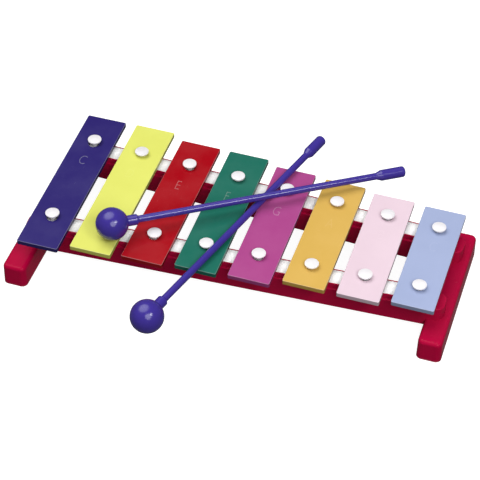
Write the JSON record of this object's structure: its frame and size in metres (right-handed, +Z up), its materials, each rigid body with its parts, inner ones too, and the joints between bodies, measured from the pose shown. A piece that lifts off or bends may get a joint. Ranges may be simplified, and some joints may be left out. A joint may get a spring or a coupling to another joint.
{
  "type": "glockenspiel",
  "caption": "Child's glockenspiel: flat coloured steel bars pinned loosely over felt strips on two converging rails between end feet, with two ball-headed beaters lying across the bars.",
  "frame": {"origin": "middle of the whole footprint, beaters included, on the surface that the feet stand on", "axes": "+X along the row of bars from the longest to the shortest, +Y from the player towards the back, +Z up"},
  "size_m": [0.2609, 0.1849, 0.0503],
  "materials": {
    "frame_red": "glossy moulded crimson plastic, faint mould texture",
    "felt_white": "pressed white felt",
    "pin_white": "satin white moulded plastic",
    "beater_blue": "glossy blue-violet moulded plastic",
    "enamel_c_low": "glossy enamel on flat steel, edges slightly rounded",
    "enamel_d": "glossy enamel on flat steel, edges slightly rounded",
    "enamel_e": "glossy enamel on flat steel, edges slightly rounded",
    "enamel_f": "glossy enamel on flat steel, edges slightly rounded",
    "enamel_g": "glossy enamel on flat steel, edges slightly rounded",
    "enamel_a": "glossy enamel on flat steel, edges slightly rounded",
    "enamel_b": "glossy enamel on flat steel, edges slightly rounded",
    "enamel_c_high": "glossy enamel on flat steel, edges slightly rounded"
  },
  "bodies": {
    "root": {"foot_left": "frame_red", "foot_right": "frame_red", "rail_front": "frame_red", "rail_back": "frame_red", "felt_front": "felt_white", "felt_back": "felt_white", "pin_c_low_front": "pin_white", "pin_c_low_back": "pin_white", "pin_d_front": "pin_white", "pin_d_back": "pin_white", "pin_e_front": "pin_white", "pin_e_back": "pin_white", "pin_f_front": "pin_white", "pin_f_back": "pin_white", "pin_g_front": "pin_white", "pin_g_back": "pin_white", "pin_a_front": "pin_white", "pin_a_back": "pin_white", "pin_b_front": "pin_white", "pin_b_back": "pin_white", "pin_c_high_front": "pin_white", "pin_c_high_back": "pin_white"},
    "bar_c_low": {"bar_c_low": "enamel_c_low"},
    "bar_d": {"bar_d": "enamel_d"},
    "bar_e": {"bar_e": "enamel_e"},
    "bar_f": {"bar_f": "enamel_f"},
    "bar_g": {"bar_g": "enamel_g"},
    "bar_a": {"bar_a": "enamel_a"},
    "bar_b": {"bar_b": "enamel_b"},
    "bar_c_high": {"bar_c_high": "enamel_c_high"},
    "beater_lower": {"beater_lower_head": "beater_blue", "beater_lower_shaft": "beater_blue", "beater_lower_grip": "beater_blue"},
    "beater_upper": {"beater_upper_head": "beater_blue", "beater_upper_shaft": "beater_blue", "beater_upper_grip": "beater_blue"}
  },
  "joints": [
    {"name": "bar_c_low_slide", "type": "slide", "parent": "root", "child": "bar_c_low", "axis": [0, 1, 0], "range_m": [-0.00015, 0.00295]},
    {"name": "bar_d_slide", "type": "slide", "parent": "root", "child": "bar_d", "axis": [0, 1, 0], "range_m": [-0.00295, 0.00015]},
    {"name": "bar_e_slide", "type": "slide", "parent": "root", "child": "bar_e", "axis": [0, 1, 0], "range_m": [-0.00125, 0.00185]},
    {"name": "bar_f_slide", "type": "slide", "parent": "root", "child": "bar_f", "axis": [0, 1, 0], "range_m": [-0.00245, 0.00065]},
    {"name": "bar_g_slide", "type": "slide", "parent": "root", "child": "bar_g", "axis": [0, 1, 0], "range_m": [-0.00105, 0.00205]},
    {"name": "bar_a_slide", "type": "slide", "parent": "root", "child": "bar_a", "axis": [0, 1, 0], "range_m": [-0.00295, 0.00015]},
    {"name": "bar_b_slide", "type": "slide", "parent": "root", "child": "bar_b", "axis": [0, 1, 0], "range_m": [-0.00155, 0.00155]},
    {"name": "bar_c_high_slide", "type": "slide", "parent": "root", "child": "bar_c_high", "axis": [0, 1, 0], "range_m": [-0.00235, 0.00075]},
    {"name": "beater_lower_lift", "type": "slide", "parent": "root", "child": "beater_lower", "axis": [0, 0, 1], "range_m": [0, 0.06]},
    {"name": "beater_upper_lift", "type": "slide", "parent": "beater_lower", "child": "beater_upper", "axis": [0, 0, 1], "range_m": [0, 0.06]}
  ]
}
